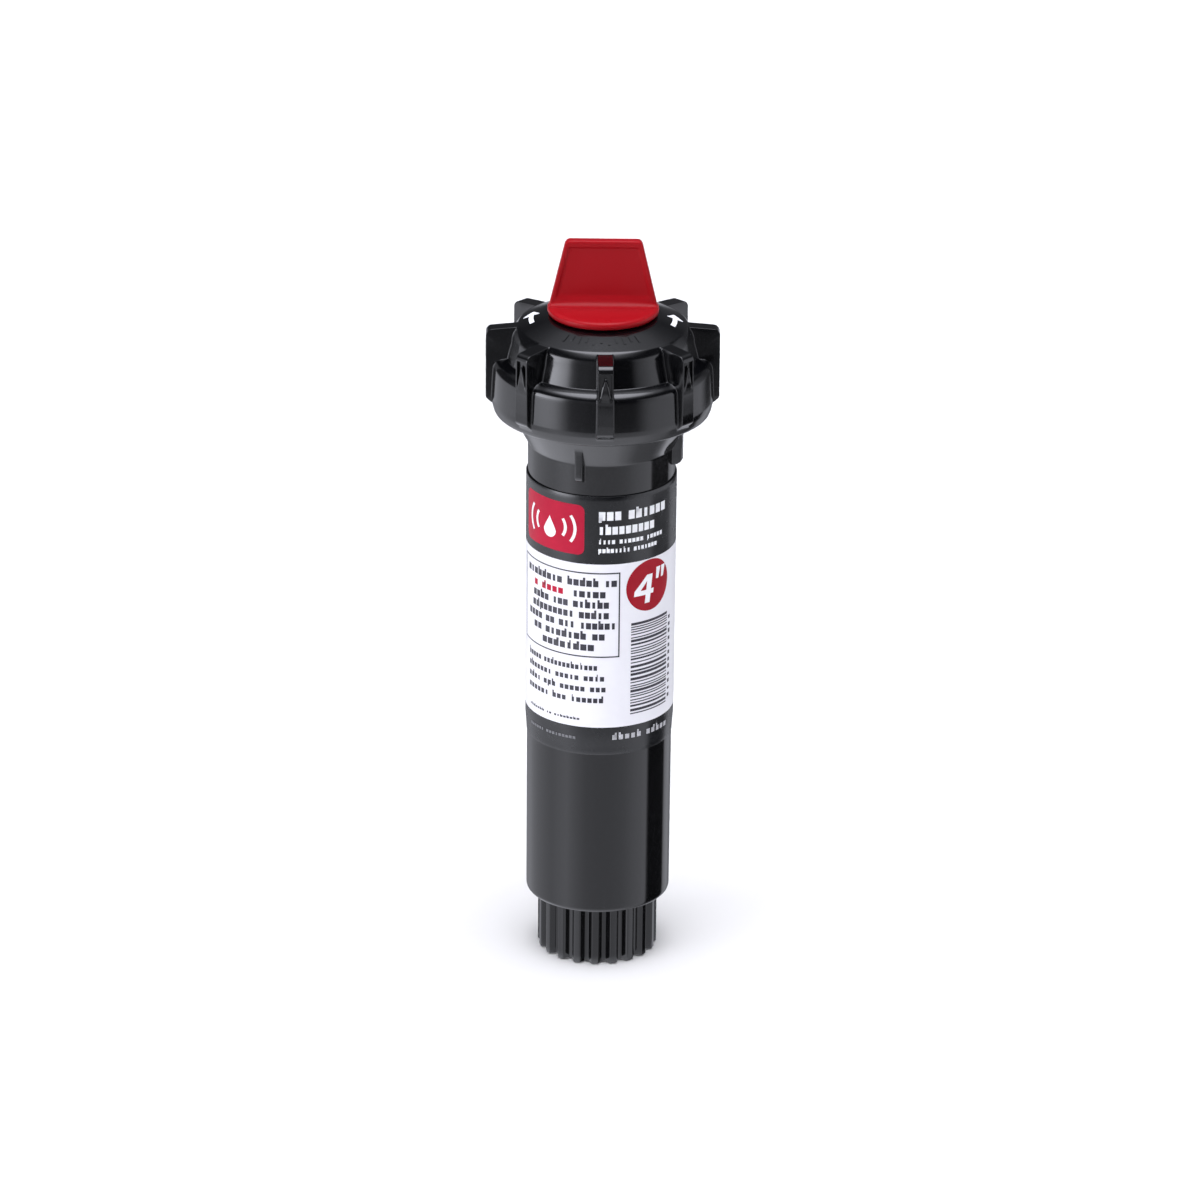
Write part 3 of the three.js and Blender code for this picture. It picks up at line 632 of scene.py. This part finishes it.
turned_piece("seal_retainer_ring", [(10.0, 153.2, 0.2), (10.9, 151.5, 0.2), (13.9, 151.5, 0.2), (13.9, 149.3, 0.3), (14.6, 148.0, 0.2), (19.4, 148.0, 0.2), (19.4, 149.9, 0.2), (18.2, 149.9, 0.2), (17.2, 150.7, 0.2), (17.2, 155.0, 0.2), (16.2, 156.1, 0.4), (10.2, 157.9, 0.15), (10.0, 157.7, 0.1)], M_INNER, "seal_stack", "seal_retainer")
turned_piece("spring_washer_ring", [(10.6, 149.5, 0.15), (13.5, 149.5, 0.15), (13.5, 150.6, 0.15), (10.6, 150.6, 0.15)], M_INNER, "seal_stack", "spring_washer")
turned_piece("plug_gasket_ring", [(7.6, 162.9, 0.15), (10.2, 162.9, 0.15), (10.2, 163.5, 0.15), (7.6, 163.5, 0.15)], M_RUBBER, "plug_washer", "plug_gasket", 96)


def coil_mesh(r, wire, z0, z1, turns, dead, per_turn, sides, dead_pitch):
    b = Build()
    steps = round(turns * per_turn)
    lo, hi = z0 + wire, z1 - wire
    span_z = hi - lo - 2 * dead * dead_pitch

    def at(t):
        n = t * turns
        if n < dead:
            h = n * dead_pitch
        elif n > turns - dead:
            h = hi - lo - (turns - n) * dead_pitch
        else:
            h = dead * dead_pitch + (n - dead) / (turns - 2 * dead) * span_z
        a = n * TAU
        return Vector((r * math.sin(a), -r * math.cos(a), lo + h))

    rows = []
    for s in range(steps + 1):
        t = s / steps
        p = at(t)
        d = (at(min(1, t + 1e-4)) - at(max(0, t - 1e-4))).normalized()
        out = Vector((p.x, p.y, 0)).normalized()
        up = d.cross(out).normalized()
        out = up.cross(d).normalized()
        rows.append([tuple(p + out * (wire * math.cos(TAU * i / sides)) + up * (wire * math.sin(TAU * i / sides))) for i in range(sides)])
    return b.capped(rows)


b = coil_mesh(12.3, 0.75, 24.5, 149.2, 16, 1, 32, 10, 1.95)
coil = piece("retract_coil", b.v, b.f, M_WIRE, "seal_stack", sharp=60, replaces=["retract_spring"])
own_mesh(coil)
b = coil_mesh(2.2, 0.25, 25.9, 32.4, 4.5, 0.6, 24, 8, 0.65)
coil2 = piece("shutoff_coil", b.v, b.f, M_WIRE, "riser", sharp=60, replaces=["shutoff_spring"])
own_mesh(coil2)

# pieces that stay hidden inside keep their CAD shapes
for name, mat in {"ratchet_ring": M_INNER, "riser_base": M_INNER, "shutoff_cage": M_VALVE, "shutoff_seat": M_VALVE, "shutoff_poppet": M_VALVE, "poppet_seal": M_RUBBER}.items():
    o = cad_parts[name]
    o.data.materials.clear()
    o.data.materials.append(mat)

# ------------------------------------------------------------------ label
FILM_T = 0.4


def film_r(z):
    """Outer face of the film; it thins out towards its lower edge."""
    return barrel_r(z) + 0.1 + (FILM_T - 0.1) * smooth((z - 57.0) / 5.5)


b = Build()
zs = [57.0, 57.04, 57.12] + [58 + 1.5 * i for i in range(44)] + [123.68, 123.76, 123.8]
inner = [(barrel_r(z) + 0.04, z) for z in (57.0, 60, 90, 120, 123.8)]
drop_at = {57.0: 0.05, 57.04: 0.02, 57.12: 0.0, 123.8: 0.16, 123.76: 0.06, 123.68: 0.01}
outer = [(film_r(z) - drop_at.get(z, 0), z) for z in zs]
b.turned(outer + inner[::-1], 180)
piece("label_film", b.v, b.f, M_BLACK, "case", sharp=60, replaces=["body_label"])


class Print:
    """Flat shapes in (u, z): u is millimetres round the label from the front, z is height; wrapped on the film."""

    def __init__(self, name, mat, lift=0.02, thick=0.02):
        self.name, self.mat, self.lift, self.thick = name, mat, lift, thick
        self.bm = bmesh.new()

    def poly(self, outer, holes=()):
        es = []
        for loop in (outer, *holes):
            vs = [self.bm.verts.new((u, z, 0)) for u, z in loop]
            es += [self.bm.edges.new((vs[i], vs[(i + 1) % len(vs)])) for i in range(len(vs))]
        bmesh.ops.triangle_fill(self.bm, edges=es, use_beauty=True, use_dissolve=False)
        return self

    def rect(self, u0, u1, z0, z1):
        n = max(1, int((u1 - u0) / 1.2))
        vl = [self.bm.verts.new((u0 + (u1 - u0) * i / n, z0, 0)) for i in range(n + 1)]
        vh = [self.bm.verts.new((u0 + (u1 - u0) * i / n, z1, 0)) for i in range(n + 1)]
        for i in range(n):
            self.bm.faces.new((vl[i], vl[i + 1], vh[i + 1], vh[i]))
        return self

    def done(self):
        bm = self.bm
        us = [v.co.x for v in bm.verts]
        u = math.floor(min(us)) + 1
        while u < max(us):
            bmesh.ops.bisect_plane(bm, geom=bm.verts[:] + bm.edges[:] + bm.faces[:], dist=1e-5, plane_co=(u, 0, 0), plane_no=(1, 0, 0))
            u += 1
        verts, faces = [], []
        for f in bm.faces:
            f.normal_update()
            if f.normal.z < 0:
                f.normal_flip()
        bm.verts.index_update()
        n = len(bm.verts)
        for top in (0.0, self.thick):
            for v in bm.verts:
                z = v.co.y
                r = film_r(z) + self.lift - self.thick + top
                a = v.co.x / film_r(90)
                verts.append((r * math.sin(a), -r * math.cos(a), z))
        for f in bm.faces:
            ix = [v.index for v in f.verts]
            faces.append([n + i for i in ix])
            faces.append(list(reversed(ix)))
        for e in bm.edges:
            if len(e.link_faces) == 1:
                a, c = e.verts[0].index, e.verts[1].index
                faces.append([a, c, n + c, n + a])
        ob = piece(self.name, verts, faces, self.mat, "case", sharp=60, weld=1e-5)
        bm.free()
        return ob


R_FILM = film_r(90)


def U(az):
    return math.radians(az) * R_FILM


def round_rect(u0, u1, z0, z1, r, n=6):
    pts = []
    for cu, cz, a0 in ((u1 - r, z1 - r, 0), (u0 + r, z1 - r, 90), (u0 + r, z0 + r, 180), (u1 - r, z0 + r, 270)):
        for i in range(n + 1):
            a = math.radians(a0 + 90 * i / n)
            pts.append((cu + r * math.cos(a), cz + r * math.sin(a)))
    return pts


def ellipse(u, z, ru, rz, n=56, a0=0.0):
    return [(u + ru * math.cos(a0 + TAU * i / n), z + rz * math.sin(a0 + TAU * i / n)) for i in range(n)]


def marks(p, u0, u1, z, h, words, weight=0.3, rise=0.42, seed=0):
    """A line of print stood for by plain blocks that spell nothing: words is a list of block counts over u0..u1."""
    rng = random.Random(f"{seed}{z:.2f}{u0:.2f}")
    total = sum(words) + 0.75 * (len(words) - 1)
    adv = (u1 - u0) / total
    fill = 0.62 + weight * 0.5
    u = u0
    for k in words:
        for _ in range(k):
            w = adv * fill * rng.choice((1, 1, 1, 0.94, 0.55))
            l = u + (adv - w) / 2
            p.rect(l, l + w, z, z + h)
            n = w * 0.42
            kind = rng.random()
            if kind < 0.14:
                p.rect(l, l + n, z + h, z + h * (1 + rise))
            elif kind < 0.2:
                p.rect(l + w - n, l + w, z + h, z + h * (1 + rise))
            elif kind < 0.24:
                p.rect(l, l + n, z - h * rise * 0.8, z)
            u += adv
        u += adv * 0.75


PI_U = math.pi * R_FILM
field = Print("label_field", M_WHITE)
field.rect(-PI_U + 0.005, PI_U - 0.005, 64.3, 106.5)
field.done()

red = Print("label_red_block", M_INK_RED, 0.02)
red.poly(round_rect(U(-73.5), U(-12.6), 108.7, 121.4, 1.7))
red.done()

deep = Print("label_size_disc", M_INK_DARK_RED, 0.04)
deep.poly(ellipse(U(41.0), 99.75, 6.6, 6.55))
deep.done()

white = Print("label_white_print", M_PAINT, 0.06)
# on the red block, a plain droplet between spray arcs
cu, cz = U(-42.5), 115.1
drop = []
for i in range(40):
    a = TAU * i / 40
    x, y = math.cos(a), math.sin(a)
    if y > 0:
        x *= (1 - y) ** 0.75
        y *= 1.9
    drop.append((cu + 1.9 * x, cz - 1.5 + 1.9 * y))
white.poly(drop)
for side in (-1, 1):
    for rad_, w in ((4.2, 0.75), (6.7, 0.75)):
        outl, inn = [], []
        for i in range(13):
            a = math.radians(-33 + 66 * i / 12)
            x, y = math.cos(a), math.sin(a)
            outl.append((cu + side * (rad_ + w) * x, cz + (rad_ + w) * y * 0.86))
            inn.append((cu + side * rad_ * x, cz + rad_ * y * 0.86))
        white.poly(outl + inn[::-1])
# title lines
marks(white, U(-2.3), U(57.2), 117.75, 2.2, [3, 6], 0.36, 0.28)
marks(white, U(-2.3), U(44.7), 114.15, 2.0, [9], 0.36, 0.3)
marks(white, U(-2.3), U(53.6), 111.75, 1.0, [4, 6, 5], 0.3)
marks(white, U(-2.3), U(47.5), 109.5, 1.0, [8, 7], 0.3)


def slant(pts, u, z, k=0.12):
    return [(u + x + k * y, z + y) for x, y in pts]


# the size: a numeral and its two inch ticks
four = [(-2.7, -1.4), (0.55, -1.4), (0.55, -3.6), (2.0, -3.6), (2.0, -1.4), (2.85, -1.4), (2.85, -0.2), (2.0, -0.2), (2.0, 3.6), (0.3, 3.6), (-2.7, -0.1)]
hole = [(-1.1, -0.2), (0.55, -0.2), (0.55, 2.1)]
white.poly(slant(four, U(35.6), 98.9), [slant(hole, U(35.6), 98.9)])
for k in (0, 1):
    white.poly(slant([(-0.45, -1.5), (0.35, -1.5), (0.7, 1.4), (-0.7, 1.4)], U(49.2) + 1.8 * k, 102.3))
white.done()

silver = Print("label_silver_print", M_SILVER, 0.06)
marks(silver, U(9.5), U(64), 61.0, 1.25, [5, 5], 0.1, 0.5)
silver.done()

fine = Print("label_faint_print", M_GREY, 0.06)
marks(fine, U(-66), U(-18), 60.9, 0.7, [6, 9], 0.26, 0.4)
fine.done()

ink = Print("label_small_print", M_INK, 0.04)
# thin frame of the boxed paragraph
t = 0.34
u0, u1, z0, z1 = U(-78), U(15.2), 82.5, 104.35
ink.rect(u0, u1, z1 - t, z1).rect(u0, u1, z0, z0 + t).rect(u1 - t, u1, z0 + t, z1 - t).rect(u0, u0 + t, z0 + t, z1 - t)
mid = U(-29)
for z, a0, a1, words in ((101.45, -71, 13, [8, 5, 2]), (98.6, -22, 4.5, [5]), (95.9, -62, 7, [4, 3, 6]), (93.2, -63, 7, [9, 5]), (90.5, -69, 12.5, [4, 2, 3, 6]), (87.7, -61, 4, [2, 7, 2]), (84.9, -50, -4, [8])):
    marks(ink, U(a0), U(a1), z - 0.72, 1.6, words, 0.44, 0.4)
for z, e, words in ((79.75, -1.5, [5, 13]), (76.95, 4, [7, 5, 4]), (74.15, 5.2, [4, 3, 5, 3]), (71.3, 3.5, [6, 3, 6])):
    marks(ink, U(-69), U(e), z - 0.6, 1.2, words, 0.28, 0.5)
marks(ink, U(-67), U(-15), 66.0, 0.5, [7, 2, 8], 0.3, 0.4)
# stacked bars at the right, with plain ticks beside them
z = 67.2
rng2 = random.Random(21)
while z < 90.2:
    w = rng2.choice([0.3, 0.3, 0.48, 0.66])
    ink.rect(U(24.4), U(62.5), z, z + w)
    z += w + rng2.choice([0.3, 0.4, 0.55])
for i in range(12):
    zt = 68.2 + i * 1.85
    ink.rect(U(64.8), U(67.8), zt, zt + rng2.choice([0.7, 0.9, 1.1]))
# two columns of plain lines round the back
for a in (112, 178):
    for i in range(11):
        marks(ink, U(a - 360 if a > 170 else a), U(a - 360 if a > 170 else a) + rng2.uniform(15, 18), 100.5 - i * 2.9, 0.9, [rng2.randint(3, 8) for _ in range(4)], 0.26, 0.5)
ink.done()

accent = Print("label_red_word", M_INK_RED, 0.04)
marks(accent, U(-61), U(-29), 97.9, 1.5, [1, 4], 0.3, 0.42)
accent.done()


# ------------------------------------------------------------------ marks on the cap
def cap_top_z(r):
    pts = [(10.9, 163.0), (12.7, 163.12), (13.5, 163.05), (14.3, 162.86), (15.3, 162.5), (16.5, 162.05), (17.7, 161.58), (18.6, 161.22), (19.12, 161.015), (19.46, 160.88)]
    for (a, za), (c, zc) in zip(pts, pts[1:]):
        if r <= c:
            return za + (zc - za) * (r - a) / (c - a)
    return 160.88


def cap_mark(b, az0, az1, r0, r1, height=0.07, n=8):
    """A thin raised patch on the cap's dome."""
    rows = []
    m = 4
    top, bot = [], []
    for j in range(m + 1):
        r = r0 + (r1 - r0) * j / m
        top.append([])
        bot.append([])
        for i in range(n + 1):
            a = math.radians(az0 + (az1 - az0) * i / n)
            z = cap_top_z(r)
            top[-1].append((r * math.sin(a), -r * math.cos(a), z + height))
            bot[-1].append((r * math.sin(a), -r * math.cos(a), z - 0.08))
    # closed shell: walk over the top and back under
    b.grid([t + list(reversed(o)) for t, o in zip(top, bot)], close_rows=False)
    k = len(b.v) - (m + 1) * 2 * (n + 1)
    w = 2 * (n + 1)
    for row in (0, m):
        s = k + row * w
        for i in range(n):
            q = (s + i, s + i + 1, s + w - 2 - i, s + w - 1 - i)
            b.f.append(q if row else tuple(reversed(q)))


def cap_arrow(b, az, way, r):
    """A generic turning arrow: a curved shaft and a stepped head."""
    cap_mark(b, min(az - way * 13, az + way * 3), max(az - way * 13, az + way * 3), r - 0.55, r + 0.55)
    for i in range(8):
        w = 1.75 * (1 - i / 8) + 0.12
        a = az + way * (3 + i * 1.05)
        cap_mark(b, min(a, a + way * 1.05), max(a, a + way * 1.05), r - w, r + w, 0.07, 1)


b = Build()
for az, way, r in ((-92, -1, 17.0), (88, 1, 17.0)):
    cap_arrow(b, az, way, r)
piece("cap_arrows", b.v, b.f, M_PAINT, "cap", sharp=50)
b = Build()
for i in range(11):
    cap_mark(b, -33 + i * 6.2, -31.2 + i * 6.2, 15.2, 16.9 if i % 2 else 17.5, 0.16, 2)
piece("cap_ticks", b.v, b.f, M_CAP, "cap", sharp=50)

# ------------------------------------------------------------------ floor, lights, camera
me = bpy.data.meshes.new("floor")
me.from_pydata([(-4, -4, -0.0004), (4, -4, -0.0004), (4, 4, -0.0004), (-4, 4, -0.0004)], [], [(0, 1, 2, 3)])
floor = bpy.data.objects.new("floor", me)
bpy.context.scene.collection.objects.link(floor)
fm, nt, p = nodes_of("floor_pale")
co = nt.nodes.new("ShaderNodeTexCoord").outputs["Object"]
nt.links.new(mixed(nt, span(nt, noise(nt, co, 3, 2), 0, 1), (0.672, 0.664, 0.642), (0.684, 0.675, 0.652)), p.inputs["Base Color"])
p.inputs["Roughness"].default_value = 0.9
p.inputs["Specular IOR Level"].default_value = 0.1
me.materials.append(fm)
floor.visible_glossy = False

world = bpy.data.worlds.new("studio")
bpy.context.scene.world = world
world.use_nodes = True
nt = world.node_tree
nt.nodes.clear()
out = nt.nodes.new("ShaderNodeOutputWorld")
bg = nt.nodes.new("ShaderNodeBackground")
nt.links.new(bg.outputs[0], out.inputs[0])
tc = nt.nodes.new("ShaderNodeTexCoord")
sx = nt.nodes.new("ShaderNodeSeparateXYZ")
nt.links.new(tc.outputs["Generated"], sx.inputs[0])


def calc(op, a, b=None):
    m = nt.nodes.new("ShaderNodeMath")
    m.operation = op
    for k, v in enumerate((a, b)):
        if v is None:
            continue
        if isinstance(v, (int, float)):
            m.inputs[k].default_value = v
        else:
            nt.links.new(v, m.inputs[k])
    return m.outputs[0]


def remap(v, a, b, soft=True):
    r = nt.nodes.new("ShaderNodeMapRange")
    r.interpolation_type = "SMOOTHSTEP" if soft else "LINEAR"
    r.inputs["From Min"].default_value, r.inputs["From Max"].default_value = a, b
    nt.links.new(v, r.inputs["Value"])
    return r.outputs["Result"]


def curve(v, lo, hi, stops):
    """Brightness along v: stops are (v, brightness)."""
    ramp = nt.nodes.new("ShaderNodeValToRGB")
    nt.links.new(remap(v, lo, hi, False), ramp.inputs[0])
    el = ramp.color_ramp.elements
    while len(el) > 1:
        el.remove(el[-1])
    for k, (a, b) in enumerate(stops):
        e = el[0] if k == 0 else el.new((a - lo) / (hi - lo))
        e.position = (a - lo) / (hi - lo)
        e.color = (b / 10, b / 10, b / 10, 1)
    return calc("MULTIPLY", ramp.outputs[0], 10.0)


def blend(t, a, b):
    m = nt.nodes.new("ShaderNodeMix")
    m.data_type = "FLOAT"
    nt.links.new(t, m.inputs["Factor"])
    nt.links.new(a, m.inputs["A"])
    nt.links.new(b, m.inputs["B"])
    return m.outputs["Result"]


# azimuth of the surroundings in degrees, 0 at the camera, + to the right; up is the sine of their elevation
azim = calc("MULTIPLY", calc("ARCTAN2", sx.outputs["X"], calc("MULTIPLY", sx.outputs["Y"], -1.0)), 180 / math.pi)
upw = sx.outputs["Z"]
# the white table close by, the table's outer part, the room at table height and its soft boxes, the ceiling
near = curve(azim, -180, 180, [(-180, 1.4), (-150, 1.6), (-128, 1.9), (-100, 2.4), (-24, 2.3), (45, 2.0), (75, 1.2), (90, 0.7), (120, 0.4), (130, 0.6), (140, 1.6), (160, 1.3), (180, 1.4)])
table = curve(azim, -180, 180, [(-180, 0.3), (-160, 0.4), (-140, 0.84), (-120, 1.02), (-100, 1.2), (-80, 1.27), (-68, 1.55), (-60, 1.7), (-52, 1.85), (-40, 1.55), (-20, 1.12), (0, 1.02), (20, 1.02), (40, 1.12), (60, 1.38), (83, 1.5), (87, 0.03), (127, 0.03), (132, 0.9), (145, 0.8), (160, 0.28), (180, 0.3)])
low = curve(azim, -180, 180, [(-180, 0.6), (-160, 0.7), (-140, 0.93), (-120, 1.13), (-100, 1.5), (-85, 1.9), (-75, 2.6), (-66, 3.1), (-58, 3.3), (-50, 3.0), (-44, 2.0), (-40, 1.3), (-34, 0.5), (-30, 0.38), (-10, 0.24), (16, 0.18), (32, 0.16), (37, 0.3), (42, 0.65), (50, 1.16), (60, 1.3), (75, 1.3), (104, 1.18), (122, 0.9), (132, 0.3), (138, 0.07), (150, 0.08), (156, 0.6), (180, 0.6)])
room = curve(azim, -180, 180, [(-180, 0.1), (-150, 0.05), (-112, 0.08), (-95, 0.4), (-80, 1.6), (-76, 5.0), (-70, 8.2), (-59, 7.5), (-51, 6.0), (-43, 4.3), (-38, 1.2), (-34, 0.6), (-27, 0.35), (-20, 0.4), (-10, 0.3), (10, 0.06), (16, 0.03), (36, 0.03), (40, 0.4), (44, 0.7), (51, 0.95), (60, 1.3), (74, 1.6), (100, 1.1), (120, 0.5), (135, 0.15), (180, 0.1)])
ceiling = curve(upw, 0, 1, [(0.45, 0.06), (0.6, 0.18), (0.68, 0.35), (0.74, 0.6), (0.8, 0.78), (0.85, 0.9), (0.89, 1.05), (0.92, 1.15), (1.0, 1.3)])
glow = blend(remap(upw, -0.74, -0.5), near, table)
glow = blend(remap(upw, -0.365, -0.34), glow, low)
glow = blend(remap(upw, -0.2, 0.0), glow, room)
# the ceiling is dark towards the camera; a round soft box hangs overhead, a little to the front
front = remap(sx.outputs["Y"], -0.02, 0.16)
dim = nt.nodes.new("ShaderNodeValue")
dim.outputs[0].default_value = 0.05
ceiling = blend(front, dim.outputs[0], ceiling)
tilt = math.radians(8)
toward = calc("ADD", calc("MULTIPLY", sx.outputs["Y"], -math.sin(tilt)), calc("MULTIPLY", upw, math.cos(tilt)))
soft = curve(toward, 0.7, 1, [(0.72, 0.0), (0.76, 0.25), (0.8, 0.6), (0.835, 1.05), (0.862, 1.7), (0.885, 3.0), (0.905, 4.8), (0.94, 6.2), (0.985, 7.0), (1.0, 7.3)])
crisp = curve(toward, 0.7, 1, [(0.835, 0.0), (0.862, 0.6), (0.885, 2.8), (0.905, 4.8), (0.94, 6.2), (0.985, 7.0), (1.0, 7.3)])
box = blend(front, soft, crisp)
ceiling = calc("ADD", ceiling, box)
glow = blend(remap(upw, 0.34, 0.5), glow, ceiling)
bg.inputs["Color"].default_value = (0.965, 0.98, 1.07, 1)
nt.links.new(glow, bg.inputs["Strength"])


def area(name, at_, to, size, watts, size_y=None, colour=(1, 1, 1)):
    d = bpy.data.lights.new(name, "AREA")
    d.shape = "RECTANGLE"
    d.size, d.size_y = size, size_y or size
    d.energy = watts
    d.color = colour
    o = bpy.data.objects.new(name, d)
    bpy.context.scene.collection.objects.link(o)
    o.location = at_
    o.rotation_mode = "QUATERNION"
    o.rotation_quaternion = (Vector(to) - Vector(at_)).to_track_quat("-Z", "Y")
    o.visible_glossy = False
    return o


area("key", (-0.55, -1.2, 0.9), (0, 0, 0.1), 0.9, 0.5)

cam_d = bpy.data.cameras.new("camera")
cam = bpy.data.objects.new("camera", cam_d)
bpy.context.scene.collection.objects.link(cam)
E, ROLL, DIST = math.radians(22.748), math.radians(0.575), 1.56149
aim = Vector((0, 0, 0.08926))
fwd = Vector((0, math.cos(E), -math.sin(E)))
up = Vector((0, math.sin(E), math.cos(E)))
right = Vector((1, 0, 0))
r2 = right * math.cos(ROLL) + up * math.sin(ROLL)
u2 = up * math.cos(ROLL) - right * math.sin(ROLL)
rot = Matrix((r2, u2, -fwd)).transposed()
cam.matrix_world = Matrix.Translation(aim - fwd * DIST) @ rot.to_4x4()
cam_d.sensor_width = 36
cam_d.lens = 195
cam_d.shift_x = -0.00021
cam_d.shift_y = 0.00219
cam_d.clip_start, cam_d.clip_end = 0.05, 20
bpy.context.scene.camera = cam
bpy.context.scene.view_settings.view_transform = "Standard"
